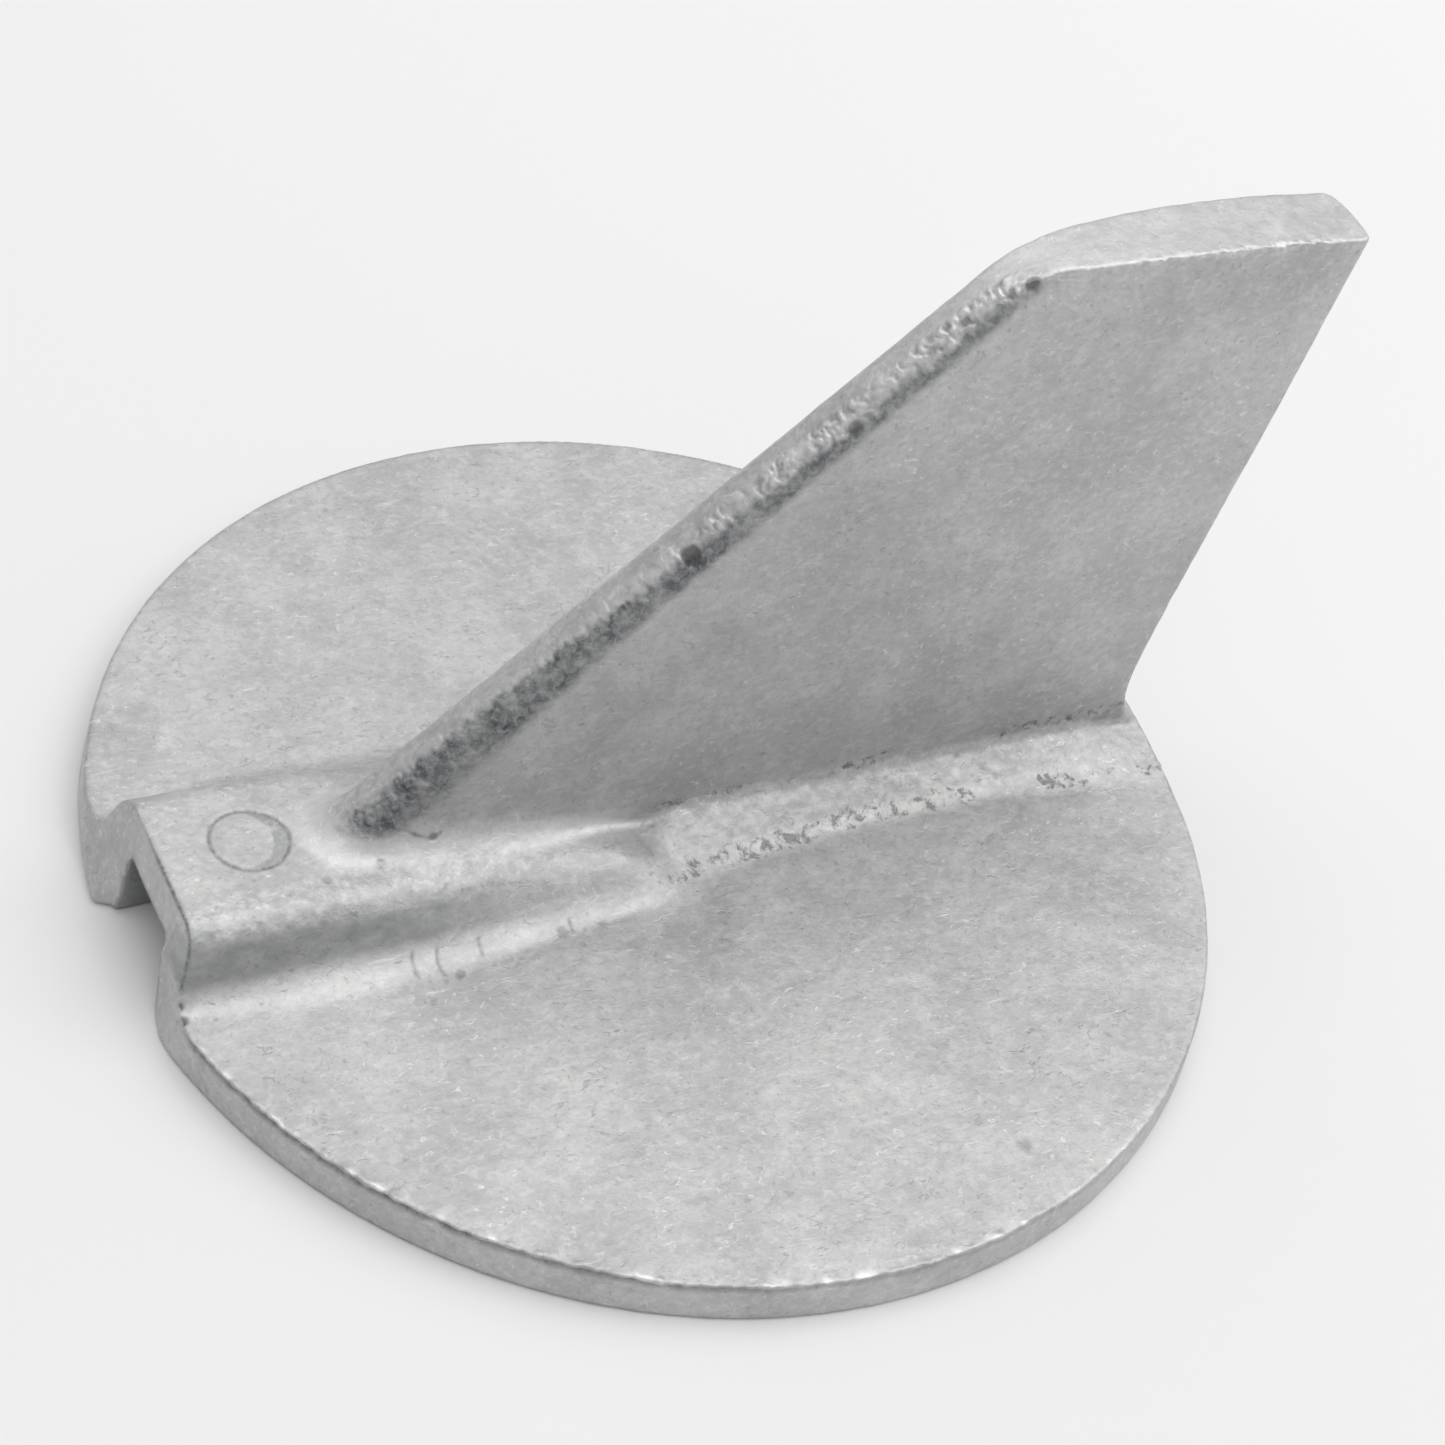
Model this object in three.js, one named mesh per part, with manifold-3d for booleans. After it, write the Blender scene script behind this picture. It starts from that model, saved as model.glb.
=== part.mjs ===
// Trim-tab anode for an outboard motor: one zinc casting (disc, hollow spine and swept fin)
// with a threaded steel insert cast into the disc for the mounting bolt.
//
// Units are millimetres. The origin is the disc's centre on its mounting face,
// +Z points to the fin's tip, +X points aft, from the leading edge to the trailing edge.

import * as THREE from 'three';
import { mergeVertices } from 'three/addons/utils/BufferGeometryUtils.js';
import Module from 'manifold-3d';

const wasm = await Module();
wasm.setup();

// ---------------------------------------------------------------- driving dimensions

const MOUNT_RADIUS = 48.1;      // disc radius at the mounting face
const FACE_RADIUS = 47.6;       // disc radius at the fin side, after the mould's draft
const DISC_THICKNESS = 3.4;
const DISC_EDGE = 0.2;          // small chamfer on the disc's two edges
const DISC_SEGMENTS = 120;

const FRONT_FACE_X = -46.6;     // flat front end of the spine, at the mounting face
const FRONT_LEAN = 0.25;        // how far the front end leans aft per unit of height
const MOUTH_SETBACK = 0.5;      // the rim is drawn back by this much beside the channel
const MOUTH_NEAR_Y = -11.4;     // where the round rim turns into the channel's mouth
const MOUTH_FAR_Y = 5.6;

const SPINE_FRONT_HEIGHT = 5.4; // spine top above the disc at its front end
const SPINE_REAR_HEIGHT = 2.7;
const SPINE_REAR_X = -6.0;
const SPINE_HALF_WIDTH = 9.5;   // at the disc, before the foot fillet
const SPINE_WALL_SLOPE = 0.36;  // how far a side wall leans in per unit of height
const SPINE_FOOT = 2.4;         // reach of the fillet at the foot of each wall
const SPINE_REAR_CORNER = 3.0;
const SPINE_OVERRUN = 4.0;      // the top's arc starts this far ahead of the front end

const CHANNEL_NEAR_Y = -5.1;    // the channel's two walls at the mounting face
const CHANNEL_FAR_Y = 3.7;
const CHANNEL_DRAFT = 0.1;      // how far the near wall leans in per unit of height
const CHANNEL_NEAR_LIP = 2.8;   // rounding where the near wall meets the mounting face
const CHANNEL_ROOF = 3.0;       // metal between the channel and the spine's top
const CHANNEL_REAR_X = -13.5;

const FIN_NOSE_X = -37.2;       // leading edge where it meets the level of the disc's face
const FIN_RAKE = 1.009;         // leading edge's run aft per unit of height
const FIN_NOSE_LENGTH = 3.2;    // rounded nose, along X
const FIN_NOSE_HALF = 2.3;      // half thickness behind the nose
const FIN_REAR_HALF = 3.15;     // half thickness of the after part
const FIN_TAPER_LENGTH = 34;    // the thickness grows over this length behind the nose
const FIN_TIP_HEIGHT = 54.5;    // top of the tip's crown, above the disc
const FIN_TIP_CROWN = 0.5;
const FIN_TIP_FRONT_ROUND = 6.5;
const FIN_TIP_REAR_ROUND = 1.0;
const FIN_TAIL_X = 49.3;        // trailing edge at the tip
const FIN_TAIL_LENGTH = 0.8;    // rounding of the trailing edge, along X
const FIN_TAIL_LEAN = 0.109;    // trailing edge's run aft per unit of height
const FIN_FLARE_HEIGHT = 12.5;  // the trailing edge flares out to the rim below this height
const FIN_FLARE_X = 43.3;
const FIN_FLARE_OVERLAP = 8.0;  // how far the flare reaches forward into the fin
const FIN_FLARE_INSET = 0.8;    // from the rim
const FIN_FLARE_STEP = 0.05;    // the flare is this much thinner than the fin on each side

const ROOT_HALF_WIDTH = 7.2;    // sloped band along the foot of the fin
const ROOT_TOP_HALF_WIDTH = 2.8;
const ROOT_HEIGHT = 3.3;

const INSERT_BARREL_RADIUS = 5.0;
const INSERT_BARREL_CHAMFER = 0.5;
const INSERT_HEIGHT = 4.0;
const INSERT_FLANGE_RADIUS = 8.0;  // across the corners of the hexagonal flange
const INSERT_FLANGE_BOTTOM = 1.1;
const INSERT_FLANGE_TOP = 2.5;
const THREAD_BORE_RADIUS = 3.35;   // M8 thread's minor radius
const THREAD_MOUTH_RADIUS = 4.1;
const INSERT_GAP = 0.3;            // between the insert and the casting
const ROUND_SEGMENTS = 48;

const DISC_FACE = DISC_THICKNESS;
const BURIED = 1;                  // the spine and the root start this far up inside the disc
const LOW_TOP = 20;                // above the disc, spine and root, and below most of the fin
const FAR = 70;                    // beyond the part in every direction
const CLEAR = 1;                   // how far a cutting shape reaches past what it cuts

// ---------------------------------------------------------------- helpers

/** A manifold solid from a closed three.js geometry. */
function solid(geometry) {
  const bare = geometry.clone();
  bare.deleteAttribute('normal');
  bare.deleteAttribute('uv');
  const merged = mergeVertices(bare, 1e-4);
  const triVerts = [];
  const index = merged.index.array;
  for (let i = 0; i < index.length; i += 3) {
    const [a, b, c] = [index[i], index[i + 1], index[i + 2]];
    if (a !== b && b !== c && c !== a) triVerts.push(a, b, c);
  }
  const mesh = new wasm.Mesh({
    numProp: 3,
    vertProperties: new Float32Array(merged.attributes.position.array),
    triVerts: new Uint32Array(triVerts),
  });
  return new wasm.Manifold(mesh);
}

/** A three.js geometry from a manifold solid. */
function geometryOf(manifold) {
  const mesh = manifold.getMesh();
  const geometry = new THREE.BufferGeometry();
  geometry.setAttribute('position', new THREE.BufferAttribute(mesh.vertProperties, 3));
  geometry.setIndex(new THREE.BufferAttribute(mesh.triVerts, 1));
  geometry.computeVertexNormals();
  return geometry;
}

/** A profile of [radius, height] pairs turned about the Z axis. */
function turned(profile, segments) {
  const points = profile.map(([radius, height]) => new THREE.Vector2(radius, height));
  return new THREE.LatheGeometry(points, segments).rotateX(Math.PI / 2);
}

/** A side-view outline, x across and z up, extruded to both sides of the centre plane. */
function sidePrism(shape, halfWidth, curveSegments = 10) {
  const options = { depth: 2 * halfWidth, bevelEnabled: false, curveSegments };
  const toSide = new THREE.Matrix4().makeBasis(
    new THREE.Vector3(1, 0, 0), new THREE.Vector3(0, 0, 1), new THREE.Vector3(0, -1, 0));
  return new THREE.ExtrudeGeometry(shape, options).applyMatrix4(toSide).translate(0, halfWidth, 0);
}

/** A front-view outline, y across and z up, extruded aft from one x to another. */
function frontPrism(shape, fromX, toX, curveSegments = 6) {
  const options = { depth: toX - fromX, bevelEnabled: false, curveSegments };
  const toFront = new THREE.Matrix4().makeBasis(
    new THREE.Vector3(0, 1, 0), new THREE.Vector3(0, 0, 1), new THREE.Vector3(1, 0, 0));
  return new THREE.ExtrudeGeometry(shape, options).applyMatrix4(toFront).translate(fromX, 0, 0);
}

/** A plan outline, extruded up from one height to another, leaning aft as it rises. */
function planPrism(shape, fromZ, toZ, lean = 0, curveSegments = 8) {
  const options = { depth: toZ - fromZ, bevelEnabled: false, curveSegments };
  const shear = new THREE.Matrix4().set(1, 0, lean, 0, 0, 1, 0, 0, 0, 0, 1, 0, 0, 0, 0, 1);
  return new THREE.ExtrudeGeometry(shape, options).translate(0, 0, fromZ).applyMatrix4(shear);
}

// ---------------------------------------------------------------- the casting

function disc() {
  return solid(turned([
    [0, 0],
    [MOUNT_RADIUS - DISC_EDGE, 0],
    [MOUNT_RADIUS, DISC_EDGE],
    [FACE_RADIUS, DISC_FACE - DISC_EDGE],
    [FACE_RADIUS - DISC_EDGE, DISC_FACE],
    [0, DISC_FACE],
  ], DISC_SEGMENTS));
}

/** Everything inside the disc's rim, with the rim's draft carried on upwards. */
function insideRim() {
  const draft = (MOUNT_RADIUS - FACE_RADIUS) / DISC_THICKNESS;
  const topRadius = MOUNT_RADIUS - draft * LOW_TOP;
  const profile = [[0, 0], [MOUNT_RADIUS, 0], [topRadius, LOW_TOP], [0, LOW_TOP]];
  return solid(turned(profile, DISC_SEGMENTS));
}

/** Everything under the spine's top, which falls in a shallow arc from the front to the rear. */
function underSpineTop(drop) {
  const frontX = FRONT_FACE_X - SPINE_OVERRUN;
  const below = -5;
  const frontZ = DISC_FACE + SPINE_FRONT_HEIGHT - drop;
  const rearZ = DISC_FACE + SPINE_REAR_HEIGHT - drop;
  const shape = new THREE.Shape();
  shape.moveTo(frontX, below);
  shape.lineTo(SPINE_REAR_X, below);
  shape.lineTo(SPINE_REAR_X, rearZ);
  shape.quadraticCurveTo((frontX + SPINE_REAR_X) / 2, frontZ, frontX, frontZ);
  return solid(sidePrism(shape, SPINE_HALF_WIDTH + 2 * SPINE_FOOT));
}

function spine() {
  const top = DISC_FACE + SPINE_FRONT_HEIGHT + CLEAR;
  const topHalf = SPINE_HALF_WIDTH - SPINE_WALL_SLOPE * (top - DISC_FACE);
  const footOut = SPINE_HALF_WIDTH + SPINE_FOOT;
  const footUp = SPINE_HALF_WIDTH - SPINE_WALL_SLOPE * SPINE_FOOT;
  const section = new THREE.Shape();
  section.moveTo(-footOut, BURIED);
  section.lineTo(footOut, BURIED);
  section.lineTo(footOut, DISC_FACE);
  section.quadraticCurveTo(SPINE_HALF_WIDTH, DISC_FACE, footUp, DISC_FACE + SPINE_FOOT);
  section.lineTo(topHalf, top);
  section.lineTo(-topHalf, top);
  section.lineTo(-footUp, DISC_FACE + SPINE_FOOT);
  section.quadraticCurveTo(-SPINE_HALF_WIDTH, DISC_FACE, -footOut, DISC_FACE);
  section.closePath();

  const plan = new THREE.Shape();
  const halfPlan = SPINE_HALF_WIDTH + SPINE_FOOT;
  plan.moveTo(-FAR, -halfPlan);
  plan.lineTo(SPINE_REAR_X - SPINE_REAR_CORNER, -halfPlan);
  plan.quadraticCurveTo(SPINE_REAR_X, -halfPlan, SPINE_REAR_X, -halfPlan + SPINE_REAR_CORNER);
  plan.lineTo(SPINE_REAR_X, halfPlan - SPINE_REAR_CORNER);
  plan.quadraticCurveTo(SPINE_REAR_X, halfPlan, SPINE_REAR_X - SPINE_REAR_CORNER, halfPlan);
  plan.lineTo(-FAR, halfPlan);
  plan.closePath();

  return solid(frontPrism(section, -FAR, SPINE_REAR_X))
    .intersect(underSpineTop(0))
    .intersect(solid(planPrism(plan, BURIED, FAR)))
    .intersect(insideRim());
}

/** Open groove under the spine, from the disc's front rim to just ahead of the insert. */
function channel() {
  const top = DISC_FACE + SPINE_FRONT_HEIGHT;
  const lipY = CHANNEL_NEAR_Y - CHANNEL_NEAR_LIP;
  const below = -CLEAR;
  const section = new THREE.Shape();
  section.moveTo(lipY, below);
  section.lineTo(CHANNEL_FAR_Y, below);
  section.lineTo(CHANNEL_FAR_Y, top);
  section.lineTo(CHANNEL_NEAR_Y + CHANNEL_DRAFT * top, top);
  section.lineTo(CHANNEL_NEAR_Y, CHANNEL_NEAR_LIP);
  section.absarc(lipY, CHANNEL_NEAR_LIP, CHANNEL_NEAR_LIP, 0, -Math.PI / 2, true);
  section.closePath();
  return solid(frontPrism(section, -FAR, CHANNEL_REAR_X))
    .intersect(underSpineTop(CHANNEL_ROOF));
}

/** What is cut away in front of the spine and at the corners of the channel's mouth. */
function frontCut() {
  const aheadX = FRONT_FACE_X - 10;
  const mouthX = FRONT_FACE_X + MOUTH_SETBACK;
  const plan = new THREE.Shape();
  plan.moveTo(aheadX, MOUTH_NEAR_Y);
  plan.lineTo(FRONT_FACE_X, MOUTH_NEAR_Y);
  plan.lineTo(mouthX, CHANNEL_NEAR_Y);
  plan.lineTo(mouthX, CHANNEL_FAR_Y);
  plan.lineTo(-MOUNT_RADIUS, MOUTH_FAR_Y);
  plan.lineTo(aheadX, MOUTH_FAR_Y);
  plan.closePath();

  const aboveDisc = new THREE.Shape();
  aboveDisc.moveTo(aheadX, -FAR);
  aboveDisc.lineTo(FRONT_FACE_X, -FAR);
  aboveDisc.lineTo(FRONT_FACE_X, FAR);
  aboveDisc.lineTo(aheadX, FAR);
  aboveDisc.closePath();

  return solid(planPrism(plan, -CLEAR, LOW_TOP, FRONT_LEAN))
    .add(solid(planPrism(aboveDisc, DISC_FACE, LOW_TOP, FRONT_LEAN)));
}

/** Sloped band at the foot of the fin, from under the spine to the disc's rear rim. */
function root() {
  const section = new THREE.Shape();
  section.moveTo(-ROOT_HALF_WIDTH, BURIED);
  section.lineTo(ROOT_HALF_WIDTH, BURIED);
  section.lineTo(ROOT_HALF_WIDTH, DISC_FACE);
  section.lineTo(ROOT_TOP_HALF_WIDTH, DISC_FACE + ROOT_HEIGHT);
  section.lineTo(-ROOT_TOP_HALF_WIDTH, DISC_FACE + ROOT_HEIGHT);
  section.lineTo(-ROOT_HALF_WIDTH, DISC_FACE);
  section.closePath();
  const startX = SPINE_REAR_X - CLEAR;
  return solid(frontPrism(section, startX, FAR)).intersect(insideRim());
}

/** The fin before its tip is cut: a rounded, raked nose in front and a rounded tail behind. */
function blade() {
  const noseEnd = FIN_NOSE_X + FIN_NOSE_LENGTH;
  const taperEnd = noseEnd + FIN_TAPER_LENGTH;
  const nose = new THREE.Shape();
  nose.moveTo(noseEnd, -FIN_NOSE_HALF);
  nose.lineTo(taperEnd, -FIN_REAR_HALF);
  nose.lineTo(3 * FAR, -FIN_REAR_HALF);
  nose.lineTo(3 * FAR, FIN_REAR_HALF);
  nose.lineTo(taperEnd, FIN_REAR_HALF);
  nose.lineTo(noseEnd, FIN_NOSE_HALF);
  nose.absellipse(noseEnd, 0, FIN_NOSE_LENGTH, FIN_NOSE_HALF, Math.PI / 2, 1.5 * Math.PI);

  const tailEnd = FIN_TAIL_X - FIN_TAIL_LENGTH - FIN_TAIL_LEAN * FIN_TIP_HEIGHT;
  const wide = FIN_REAR_HALF + CLEAR;
  const tail = new THREE.Shape();
  tail.moveTo(-2 * FAR, -wide);
  tail.lineTo(tailEnd, -wide);
  tail.lineTo(tailEnd, -FIN_REAR_HALF);
  tail.absellipse(tailEnd, 0, FIN_TAIL_LENGTH, FIN_REAR_HALF, -Math.PI / 2, Math.PI / 2);
  tail.lineTo(tailEnd, wide);
  tail.lineTo(-2 * FAR, wide);
  tail.closePath();

  const start = BURIED - DISC_FACE;
  const raked = planPrism(nose, start, FAR, FIN_RAKE, 9).translate(0, 0, DISC_FACE);
  const ended = planPrism(tail, start, FAR, FIN_TAIL_LEAN, 5).translate(0, 0, DISC_FACE);
  return solid(raked).intersect(solid(ended));
}

/** Side view of the fin's tip: a crowned top with a round front corner. */
function tipOutline() {
  const top = DISC_FACE + FIN_TIP_HEIGHT;
  const end = top - FIN_TIP_CROWN;
  const frontX = FIN_NOSE_X + FIN_RAKE * (FIN_TIP_HEIGHT - FIN_TIP_CROWN);
  const frontBack = FIN_TIP_FRONT_ROUND / Math.SQRT2;
  const frontTopX = frontX + FIN_TIP_FRONT_ROUND;
  const shape = new THREE.Shape();
  shape.moveTo(-FAR, 0);
  shape.lineTo(FIN_TAIL_X, 0);
  shape.lineTo(FIN_TAIL_X, end - FIN_TIP_REAR_ROUND);
  shape.quadraticCurveTo(FIN_TAIL_X, end, FIN_TAIL_X - FIN_TIP_REAR_ROUND, end);
  shape.quadraticCurveTo((FIN_TAIL_X + frontTopX) / 2, top + FIN_TIP_CROWN, frontTopX, end);
  shape.quadraticCurveTo(frontX, end, frontX - frontBack, end - frontBack);
  shape.lineTo(-FAR, end - frontBack);
  shape.closePath();
  return solid(sidePrism(shape, FIN_REAR_HALF + CLEAR));
}

/** The foot of the trailing edge, which sweeps out to the disc's rim. */
function flare() {
  const top = DISC_FACE + FIN_FLARE_HEIGHT;
  const insideX = FIN_FLARE_X - FIN_FLARE_OVERLAP;
  const rimX = FACE_RADIUS - FIN_FLARE_INSET;
  const bend = FIN_FLARE_HEIGHT / 4;
  const shape = new THREE.Shape();
  shape.moveTo(insideX, BURIED);
  shape.lineTo(rimX, BURIED);
  shape.lineTo(rimX, DISC_FACE);
  shape.quadraticCurveTo(FIN_FLARE_X, DISC_FACE + bend, FIN_FLARE_X, top - bend);
  shape.quadraticCurveTo(FIN_FLARE_X, top - bend / 2, FIN_FLARE_X + FIN_TAIL_LEAN, top);
  shape.lineTo(insideX, top);
  shape.closePath();
  return solid(sidePrism(shape, FIN_REAR_HALF - FIN_FLARE_STEP));
}

function fin() {
  return blade().intersect(tipOutline()).add(flare());
}

/** The insert's outline, grown by a gap, as a solid without its thread. */
function insertBody(gap) {
  const barrel = turned([
    [0, -gap],
    [INSERT_BARREL_RADIUS + gap, -gap],
    [INSERT_BARREL_RADIUS + gap, INSERT_HEIGHT + gap - INSERT_BARREL_CHAMFER],
    [INSERT_BARREL_RADIUS + gap - INSERT_BARREL_CHAMFER, INSERT_HEIGHT + gap],
    [0, INSERT_HEIGHT + gap],
  ], ROUND_SEGMENTS);
  const flangeHeight = INSERT_FLANGE_TOP - INSERT_FLANGE_BOTTOM + 2 * gap;
  const flange = new THREE.CylinderGeometry(
    INSERT_FLANGE_RADIUS + gap, INSERT_FLANGE_RADIUS + gap, flangeHeight, 6);
  flange.rotateX(Math.PI / 2).rotateZ(Math.PI / 6);
  flange.translate(0, 0, (INSERT_FLANGE_BOTTOM + INSERT_FLANGE_TOP) / 2);
  return solid(barrel).add(solid(flange));
}

function casting() {
  return disc().add(spine()).add(root()).add(fin())
    .subtract(frontCut())
    .subtract(channel())
    .subtract(insertBody(INSERT_GAP));
}

// ---------------------------------------------------------------- the threaded insert

function insert() {
  const countersink = THREAD_MOUTH_RADIUS - THREAD_BORE_RADIUS;
  const bore = turned([
    [0, -CLEAR],
    [THREAD_MOUTH_RADIUS, -CLEAR],
    [THREAD_MOUTH_RADIUS, 0],
    [THREAD_BORE_RADIUS, countersink],
    [THREAD_BORE_RADIUS, INSERT_HEIGHT + CLEAR],
    [0, INSERT_HEIGHT + CLEAR],
  ], ROUND_SEGMENTS);
  return insertBody(0).subtract(solid(bore));
}

// ---------------------------------------------------------------- the assembly

function part(name, manifold, color, roughness, metalness) {
  const material = new THREE.MeshStandardMaterial({ color, roughness, metalness });
  const mesh = new THREE.Mesh(geometryOf(manifold), material);
  mesh.name = name;
  return mesh;
}

const anode = new THREE.Group();
anode.add(part('anode_casting', casting(), 0xb9babb, 0.55, 0.7));
anode.add(part('threaded_insert', insert(), 0x8f9194, 0.35, 1.0));

export default anode;
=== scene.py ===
"""Visual model of a trim-tab anode: a rough metal casting and the threaded insert cast into it.

Each piece is described by a distance field, in millimetres, in the frame's own axes. A mesh is
fitted to the field. The casting's is then roughened along its normals, like a casting's skin, and
painted for its metal to read, with painted shade and painted highlights among its marks. The
frame gives the overall size; the rest are named values below.
"""

import math

import bmesh
import bpy
import numpy as np
from mathutils import Matrix, Vector


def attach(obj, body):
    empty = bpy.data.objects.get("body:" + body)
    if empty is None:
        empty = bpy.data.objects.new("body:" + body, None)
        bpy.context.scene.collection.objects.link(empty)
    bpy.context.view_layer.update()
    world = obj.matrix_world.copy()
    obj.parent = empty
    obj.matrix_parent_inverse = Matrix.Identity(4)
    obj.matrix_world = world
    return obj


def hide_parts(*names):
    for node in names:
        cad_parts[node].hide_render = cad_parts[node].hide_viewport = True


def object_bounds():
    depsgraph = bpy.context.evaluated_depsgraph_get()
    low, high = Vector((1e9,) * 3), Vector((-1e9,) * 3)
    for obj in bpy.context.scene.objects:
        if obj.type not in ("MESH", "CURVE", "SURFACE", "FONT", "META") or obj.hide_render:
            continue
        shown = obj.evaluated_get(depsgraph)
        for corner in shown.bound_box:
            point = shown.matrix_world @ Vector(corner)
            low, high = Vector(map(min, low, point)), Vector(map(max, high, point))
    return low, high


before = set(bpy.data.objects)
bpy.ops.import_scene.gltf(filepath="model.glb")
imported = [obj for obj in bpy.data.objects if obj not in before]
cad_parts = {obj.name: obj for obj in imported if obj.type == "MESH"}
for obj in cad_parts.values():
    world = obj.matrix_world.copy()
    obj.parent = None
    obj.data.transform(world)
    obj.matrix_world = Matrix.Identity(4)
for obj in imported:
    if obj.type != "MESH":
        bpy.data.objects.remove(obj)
cad_low, cad_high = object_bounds()

MM = 0.001
LOW = np.array(cad_low) / MM
HIGH = np.array(cad_high) / MM

# ---------------------------------------------------------------- sizes, in millimetres

MOUNT_RADIUS = HIGH[1] - 0.2
FACE_RADIUS = MOUNT_RADIUS - 0.35
DISC_THICKNESS = 3.4
DISC_EDGE = 0.22
RIM_REACH = 15.0  # the fin overhangs the rim above this height
MOULD_SHIFT = (-0.05, -0.1)  # how far the mounting face's circle sits off the fin side's
RIM_WOBBLE = 0.08  # the rim is a little out of round, with three lobes
RIM_WOBBLE_TURN = 1.92  # where the lobes stand, in radians

FRONT_X = -46.85
FRONT_LEAN = 0.28
MOUTH_SETBACK = 0.6
MOUTH_NEAR_Y = -9.5
MOUTH_FAR_Y = 3.9
FAR_FOOT_ROUND = 0.6
MOUTH_FAR_REACH = 1.3  # beyond the channel the rim's foot comes forward again by this much

SPINE_TOP_X = -44.0
SPINE_TOP_HEIGHT = 5.5
SPINE_FALL = 0.03  # how steeply the top falls at its front end
SPINE_FALL_GROWTH = 0.0012  # how fast that gets steeper towards the rear
SPINE_REAR_X = -3.4
SPINE_REAR_SLOPE = 0.6
SPINE_REAR_CORNER = 2.6
SPINE_HALF_WIDTH = 9.5
SPINE_WALL_SLOPE = 0.36
SPINE_SHOULDER = 1.7
SPINE_REAR_SHOULDER = 4.0  # the shoulder widens to this beside the fin
SPINE_SWELL = 0.6  # the top swells up by this much round the fin's foot
SPINE_SWELL_HALF = 5.5

CHANNEL_NEAR_WALL = 5.1
CHANNEL_FAR_WALL = 3.7
CHANNEL_DRAFT = 0.1
CHANNEL_ROOF = 3.0
CHANNEL_REAR_X = -13.5
CHANNEL_NEAR_LIP = 2.8

NOSE_X = -37.2
NOSE_RAKE = 1.009
NOSE_HALF_ROOT = 2.5
NOSE_HALF_TIP = 2.1
BLADE_HALF = 3.15
TIP_HEIGHT = HIGH[2] - DISC_THICKNESS - 0.06
TIP_CROWN_X = 36.0
TIP_CROWN_CURVE = 0.0031
TIP_CROWN_TILT = 0.05  # the top rises by this much per millimetre towards the far side
TAIL_X = 43.0  # the trailing edge at its foot, without the flare
TAIL_RAKE = 0.107
TAIL_FLARE = 5.0
TAIL_FLARE_HEIGHT = 3.0
TAIL_BULGE = 0.5

BAND_HALF = 6.45  # the sloped band along the fin's foot is narrowest at its waist
BAND_WAIST_X = 20
BAND_SPREAD = 0.0035
BAND_HEIGHT = 3.35  # against the blade, at the band's front end
BAND_FALL = 0.024
BAND_TAIL_DROP = 1.2  # the band gets this much lower where it runs out at the rim
BAND_START_SLOPE = 1.8  # it rises gently out of the spine's rear end

INSERT_BARREL_RADIUS = 5.0
INSERT_BARREL_CHAMFER = 0.5
INSERT_HEIGHT = 4.0
FLANGE_CORNER_RADIUS = 8.0
FLANGE_BOTTOM = 1.1
FLANGE_TOP = 2.5
THREAD_MAJOR_RADIUS = 4.0
THREAD_MINOR_RADIUS = 3.35
THREAD_PITCH = 1.25
INSERT_CLEARANCE = 0.05

MESH_STEP = 0.3
THREAD_STEP = 0.13

# ---------------------------------------------------------------- noise


def lattice(ix, iy, iz, seed):
    """A repeatable number from -1 to 1 for each whole-numbered place."""
    h = ix * 374761393 + iy * 668265263 + iz * 1440670441 + seed * 1013904223
    h = (h & 0xFFFFFFFF).astype(np.uint64)
    h = ((h ^ (h >> np.uint64(13))) * np.uint64(1274126177)) & np.uint64(0xFFFFFFFF)
    h = ((h ^ (h >> np.uint64(15))) * np.uint64(2246822519)) & np.uint64(0xFFFFFFFF)
    return ((h >> np.uint64(8)) & np.uint64(0xFFFF)).astype(float) / 32767.5 - 1.0


def noise(x, y, z, size, seed):
    """Smooth noise from -1 to 1, with features of about the given size."""
    x, y, z = x / size, y / size, z / size
    ix, iy, iz = (np.floor(v).astype(np.int64) for v in (x, y, z))
    fx, fy, fz = x - ix, y - iy, z - iz
    sx, sy, sz = (f * f * (3 - 2 * f) for f in (fx, fy, fz))
    total = 0.0
    for dx in (0, 1):
        for dy in (0, 1):
            for dz in (0, 1):
                weight = (sx if dx else 1 - sx) * (sy if dy else 1 - sy) * (sz if dz else 1 - sz)
                total = total + weight * lattice(ix + dx, iy + dy, iz + dz, seed)
    return total


def cloudy(x, y, z, size, seed, octaves=3):
    """Several sizes of noise laid over each other, from about -1 to 1."""
    total, strength = 0.0, 1.0
    for octave in range(octaves):
        total = total + strength * noise(x, y, z, size / 2**octave, seed + 31 * octave)
        strength *= 0.5
    return total


def ramp(value, start, end):
    """0 before start, 1 after end, and a smooth rise between."""
    t = np.clip((value - start) / (end - start), 0, 1)
    return t * t * (3 - 2 * t)


# ---------------------------------------------------------------- joining fields


def round_and(a, b, radius):
    """Both a and b, with the edge where they meet rounded."""
    corner = np.hypot(np.maximum(a + radius, 0), np.maximum(b + radius, 0))
    return np.minimum(-radius, np.maximum(a, b)) + corner


def round_or(a, b, radius):
    """Either a or b, with a fillet where they meet."""
    corner = np.hypot(np.maximum(radius - a, 0), np.maximum(radius - b, 0))
    return np.maximum(radius, np.minimum(a, b)) - corner


# ---------------------------------------------------------------- the casting's fields


def rim_field(x, y, z):
    """The disc's side, whose draft carries on above and below it."""
    sink = 1 - z / DISC_THICKNESS
    radius = FACE_RADIUS + (MOUNT_RADIUS - FACE_RADIUS) * sink
    radius = radius + RIM_WOBBLE * np.cos(3 * (np.arctan2(y, x) + RIM_WOBBLE_TURN))
    return np.hypot(x - MOULD_SHIFT[0] * sink, y - MOULD_SHIFT[1] * sink) - radius


def spine_top(x):
    """Height of the spine's top above the disc: it falls in a shallow arc towards the rear."""
    back = x - SPINE_TOP_X
    return SPINE_TOP_HEIGHT - SPINE_FALL * back - SPINE_FALL_GROWTH * back * back


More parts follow.
